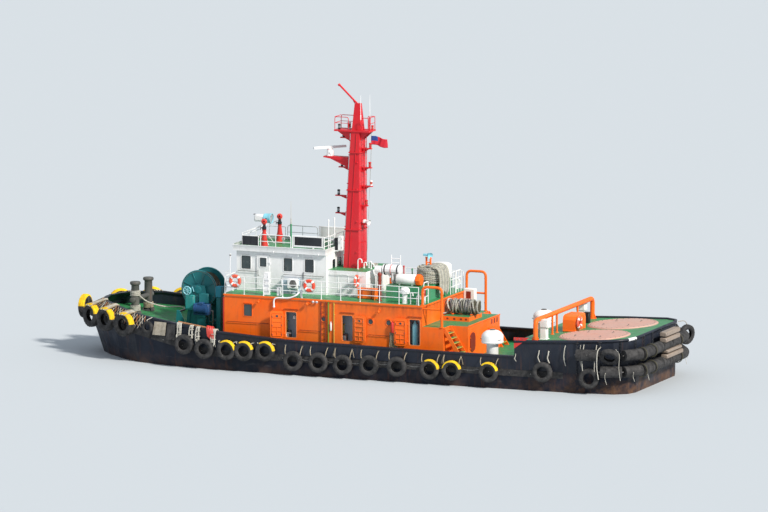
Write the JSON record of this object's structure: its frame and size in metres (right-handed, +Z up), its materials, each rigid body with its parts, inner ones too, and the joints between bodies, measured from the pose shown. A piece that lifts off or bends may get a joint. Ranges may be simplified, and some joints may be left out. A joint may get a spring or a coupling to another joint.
{
  "type": "harbour tug",
  "caption": "Harbour tug with hollow deckhouse and wheelhouse, tyre fenders, hawser winch, tow beam and steering stern thrusters.",
  "frame": {"origin": "on the waterline, amidships halfway along the overall length, on the centreline", "axes": "+X to the bow, +Y to port, +Z up"},
  "size_m": [35.2296, 10.6326, 20.0201],
  "materials": {
    "hull_paint": "worn black hull paint with rust",
    "deck_paint": "matt green deck paint",
    "orange_paint": "satin orange paint",
    "white_paint": "satin white paint",
    "mast_paint": "satin crimson paint",
    "teal_paint": "satin teal paint",
    "fender_rubber": "scuffed rubber with yellow paint on some tyres",
    "hatch_paint": "matt salmon paint",
    "bronze": "dull bronze",
    "red_paint": "satin red paint",
    "dark_red_paint": "satin dark red paint",
    "bitt_paint": "grey paint rubbed bare by ropes",
    "hawser": "pale grey rope"
  },
  "bodies": {
    "hull": {"hull": "hull_paint", "stern_deck": "deck_paint", "bulwark_port": "hull_paint", "bulwark_starboard": "hull_paint", "side_fender_port": "fender_rubber", "side_fender_starboard": "fender_rubber", "bow_fender": "fender_rubber", "stern_fender": "fender_rubber", "deckhouse_wall_port": "orange_paint", "deckhouse_wall_starboard": "orange_paint", "deckhouse_wall_front": "orange_paint", "deckhouse_wall_aft": "orange_paint", "upper_deck": "deck_paint", "wheelhouse_wall_port": "white_paint", "wheelhouse_wall_starboard": "white_paint", "wheelhouse_wall_front": "white_paint", "wheelhouse_wall_aft": "white_paint", "wheelhouse_roof": "white_paint", "aft_house": "orange_paint", "stair_port": "orange_paint", "stair_starboard": "orange_paint", "portal_frame_port": "orange_paint", "portal_frame_starboard": "orange_paint", "tow_beam": "orange_paint", "companion": "orange_paint", "stern_vent_port": "white_paint", "stern_vent_starboard": "white_paint", "mushroom_vent_port": "white_paint", "mushroom_vent_starboard": "white_paint", "thruster_hatch_port": "hatch_paint", "thruster_hatch_starboard": "hatch_paint", "winch_frame": "teal_paint", "bow_bitt": "bitt_paint", "mast_casing": "white_paint", "aft_casing": "deck_paint", "mast": "mast_paint", "bridge_rail": "white_paint", "upper_deck_rail": "white_paint", "deck_tank": "white_paint", "hawser_stow": "hawser", "deck_hawser": "hawser", "liferaft": "white_paint"},
    "deck_door_fore_port": {"deck_door_fore_port": "orange_paint"},
    "deck_door_fore_starboard": {"deck_door_fore_starboard": "orange_paint"},
    "deck_door_middle_port": {"deck_door_middle_port": "orange_paint"},
    "deck_door_middle_starboard": {"deck_door_middle_starboard": "orange_paint"},
    "deck_door_aft_port": {"deck_door_aft_port": "orange_paint"},
    "deck_door_aft_starboard": {"deck_door_aft_starboard": "orange_paint"},
    "wheelhouse_door_port": {"wheelhouse_door_port": "white_paint"},
    "wheelhouse_door_starboard": {"wheelhouse_door_starboard": "white_paint"},
    "aft_house_door": {"aft_house_door": "dark_red_paint"},
    "thruster_port": {"thruster_port": "hull_paint"},
    "thruster_starboard": {"thruster_starboard": "hull_paint"},
    "propeller_port": {"propeller_port": "bronze"},
    "propeller_starboard": {"propeller_starboard": "bronze"},
    "winch_drum": {"winch_drum": "teal_paint"},
    "radar_scanner": {"radar_scanner": "white_paint"},
    "monitor_port": {"monitor_port": "red_paint"},
    "monitor_starboard": {"monitor_starboard": "red_paint"},
    "searchlight": {"searchlight": "white_paint"}
  },
  "joints": [
    {"name": "deck_door_fore_port_swing", "type": "hinge", "parent": "hull", "child": "deck_door_fore_port", "pos_m": [3.785, 3.406, 2.575], "axis": [0, 0, 1], "range_deg": [-15, 160]},
    {"name": "deck_door_fore_starboard_swing", "type": "hinge", "parent": "hull", "child": "deck_door_fore_starboard", "pos_m": [3.785, -3.406, 2.575], "axis": [0, 0, -1], "range_deg": [-15, 160]},
    {"name": "deck_door_middle_port_swing", "type": "hinge", "parent": "hull", "child": "deck_door_middle_port", "pos_m": [-0.365, 3.406, 2.575], "axis": [0, 0, -1], "range_deg": [0, 175]},
    {"name": "deck_door_middle_starboard_swing", "type": "hinge", "parent": "hull", "child": "deck_door_middle_starboard", "pos_m": [-0.365, -3.406, 2.575], "axis": [0, 0, 1], "range_deg": [0, 175]},
    {"name": "deck_door_aft_port_swing", "type": "hinge", "parent": "hull", "child": "deck_door_aft_port", "pos_m": [-3.585, 3.406, 2.575], "axis": [0, 0, 1], "range_deg": [0, 175]},
    {"name": "deck_door_aft_starboard_swing", "type": "hinge", "parent": "hull", "child": "deck_door_aft_starboard", "pos_m": [-3.585, -3.406, 2.575], "axis": [0, 0, -1], "range_deg": [0, 175]},
    {"name": "wheelhouse_door_port_swing", "type": "hinge", "parent": "hull", "child": "wheelhouse_door_port", "pos_m": [5.275, 1.906, 5.19], "axis": [0, 0, 1], "range_deg": [0, 170]},
    {"name": "wheelhouse_door_starboard_swing", "type": "hinge", "parent": "hull", "child": "wheelhouse_door_starboard", "pos_m": [5.275, -1.906, 5.19], "axis": [0, 0, -1], "range_deg": [0, 170]},
    {"name": "aft_house_door_swing", "type": "hinge", "parent": "hull", "child": "aft_house_door", "pos_m": [-6.81, 2.13, 1.99], "axis": [0, 0, -1], "range_deg": [0, 150]},
    {"name": "thruster_port_steer", "type": "hinge", "parent": "hull", "child": "thruster_port", "pos_m": [-14.13, 2.18, -1.5], "axis": [0, 0, 1], "continuous": true},
    {"name": "thruster_starboard_steer", "type": "hinge", "parent": "hull", "child": "thruster_starboard", "pos_m": [-14.13, -2.18, -1.5], "axis": [0, 0, 1], "continuous": true},
    {"name": "propeller_port_spin", "type": "hinge", "parent": "thruster_port", "child": "propeller_port", "pos_m": [-14.89, 2.18, -3], "axis": [1, 0, 0], "continuous": true},
    {"name": "propeller_starboard_spin", "type": "hinge", "parent": "thruster_starboard", "child": "propeller_starboard", "pos_m": [-14.89, -2.18, -3], "axis": [1, 0, 0], "continuous": true},
    {"name": "winch_drum_spin", "type": "hinge", "parent": "hull", "child": "winch_drum", "pos_m": [10.1, 0, 3.8], "axis": [0, 1, 0], "continuous": true},
    {"name": "radar_scanner_spin", "type": "hinge", "parent": "hull", "child": "radar_scanner", "pos_m": [2.45, 0, 11.98], "axis": [0, 0, 1], "continuous": true},
    {"name": "monitor_port_turn", "type": "hinge", "parent": "hull", "child": "monitor_port", "pos_m": [5.95, 1.1, 6.9], "axis": [0, 0, 1], "range_deg": [-142, 38]},
    {"name": "monitor_starboard_turn", "type": "hinge", "parent": "hull", "child": "monitor_starboard", "pos_m": [5.95, -1.1, 6.9], "axis": [0, 0, -1], "range_deg": [-8, 172]},
    {"name": "searchlight_turn", "type": "hinge", "parent": "hull", "child": "searchlight", "pos_m": [6.45, 0, 7.56], "axis": [0, 0, 1], "range_deg": [-170, 170]}
  ]
}
